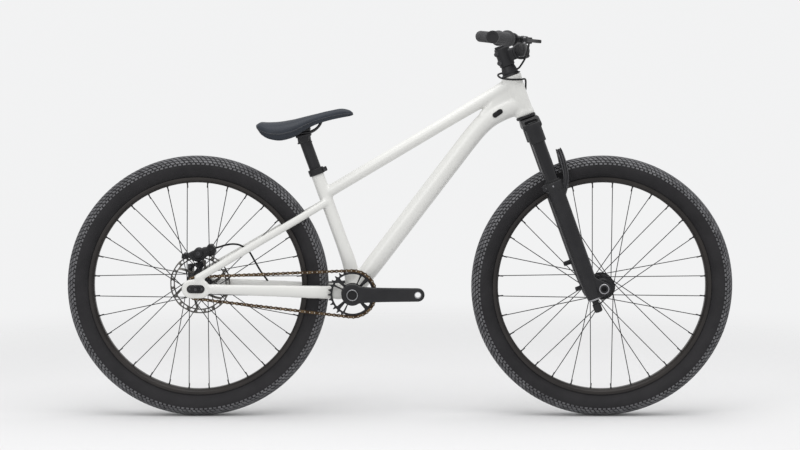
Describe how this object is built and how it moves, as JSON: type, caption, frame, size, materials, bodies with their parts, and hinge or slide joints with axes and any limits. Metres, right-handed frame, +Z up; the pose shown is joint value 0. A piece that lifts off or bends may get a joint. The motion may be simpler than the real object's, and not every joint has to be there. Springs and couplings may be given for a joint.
{
  "type": "dirt jump bike",
  "caption": "Hardtail dirt jump bike with a low sloping frame, suspension fork, small saddle, single-speed chain drive and a rear disc brake.",
  "frame": {"origin": "on the ground midway between the two axles, in the bike's middle plane", "axes": "+X forward, +Y to the rider's left, +Z up; the drive side faces -Y"},
  "size_m": [1.741, 0.783, 1.0084],
  "materials": {
    "frame_white": "smooth white satin-gloss paint",
    "satin_black": "satin black anodised and painted alloy",
    "gloss_black": "glossy black slider tubes",
    "rim_black": "dark rim alloy, satin",
    "tyre": "matt dark grey rubber with small square blocks",
    "rubber_black": "matt black rubber",
    "saddle_slate": "smooth dark blue-grey synthetic leather",
    "steel": "satin steel",
    "chain_bronze": "bronze-brown plates with paler pins"
  },
  "bodies": {
    "frame": {"frame": "frame_white", "cable_port_right": "satin_black", "cable_port_left": "satin_black", "chain": "chain_bronze", "headset_lower_cup": "satin_black", "headset_upper_cup": "satin_black", "seat_collar": "satin_black", "rear_axle": "steel", "axle_nut_right": "satin_black", "axle_nut_left": "satin_black", "chain_tensioner_right": "satin_black", "chain_tensioner_left": "satin_black", "brake_caliper": "satin_black", "caliper_bracket": "satin_black", "brake_hose_rear": "rubber_black", "brake_hose_front": "rubber_black", "bb_cup_right": "satin_black", "bb_cup_left": "satin_black"},
    "steering": {"steerer_tube": "satin_black", "fork_crown": "satin_black", "stanchion_right": "gloss_black", "stanchion_left": "gloss_black", "headset_spacer": "satin_black", "stem": "satin_black", "stem_faceplate": "satin_black", "top_cap": "satin_black", "handlebar": "satin_black", "grip_right": "rubber_black", "grip_left": "rubber_black", "bar_plug_right": "rubber_black", "bar_plug_left": "rubber_black", "brake_lever_housing": "satin_black"},
    "brake_lever": {"brake_lever_blade": "satin_black"},
    "fork_lowers": {"fork_lowers": "satin_black", "wiper_seal_right": "rubber_black", "wiper_seal_left": "rubber_black", "front_axle": "steel"},
    "rebound_knob": {"rebound_knob": "satin_black"},
    "front_wheel": {"front_tyre": "tyre", "front_rim": "rim_black", "front_hub": "satin_black", "front_bearing_right": "steel", "front_bearing_left": "steel"},
    "rear_wheel": {"rear_tyre": "tyre", "rear_rim": "rim_black", "rear_hub": "satin_black", "rear_bearing_right": "steel", "rear_bearing_left": "steel", "brake_rotor": "steel"},
    "cog": {"cog": "steel"},
    "crankset": {"crank_spindle": "steel", "crank_arm_right": "satin_black", "crank_arm_left": "satin_black", "chainring": "satin_black", "crank_cap": "satin_black"},
    "seatpost": {"seatpost": "satin_black", "saddle": "saddle_slate", "saddle_rails": "steel", "rail_clamp": "satin_black"}
  },
  "joints": [
    {"name": "steering_turn", "type": "hinge", "parent": "frame", "child": "steering", "pos_m": [0.49373, 0, 0.32935], "axis": [-0.342, 0, 0.9397], "range_deg": [-80, 80], "deforming": ["brake_hose_front"]},
    {"name": "fork_travel", "type": "slide", "parent": "steering", "child": "fork_lowers", "axis": [-0.342, 0, 0.9397], "range_m": [0, 0.1], "stiffness_N_per_m": 8000, "springref_m": -0.02},
    {"name": "front_wheel_spin", "type": "hinge", "parent": "fork_lowers", "child": "front_wheel", "pos_m": [0.5285, 0, 0.342], "axis": [0, 1, 0], "continuous": true},
    {"name": "rear_wheel_spin", "type": "hinge", "parent": "frame", "child": "rear_wheel", "pos_m": [-0.5285, 0, 0.342], "axis": [0, 1, 0], "continuous": true},
    {"name": "crank_spin", "type": "hinge", "parent": "frame", "child": "crankset", "pos_m": [-0.1237, 0, 0.3265], "axis": [0, 1, 0], "continuous": true, "deforming": ["chain"]},
    {"name": "cog_spin", "type": "hinge", "parent": "frame", "child": "cog", "pos_m": [-0.5285, 0, 0.342], "axis": [0, 1, 0], "continuous": true},
    {"name": "seatpost_height", "type": "slide", "parent": "frame", "child": "seatpost", "axis": [-0.3387, 0, 0.9409], "range_m": [-0.05, 0.05]},
    {"name": "brake_lever_pull", "type": "hinge", "parent": "steering", "child": "brake_lever", "pos_m": [0.31006, -0.22137, 0.98483], "axis": [-0.0713, -0.0108, -0.9974], "range_deg": [0, 14], "stiffness_Nm_per_rad": 0.6, "springref_deg": -8.59},
    {"name": "rebound_knob_turn", "type": "hinge", "parent": "fork_lowers", "child": "rebound_knob", "pos_m": [0.51211, -0.062, 0.29347], "axis": [-0.342, 0, 0.9397], "range_deg": [-300, 300]}
  ],
  "couplings": [
    {"joint": "cog_spin", "follows": "crank_spin", "ratio": 2.1429}
  ]
}
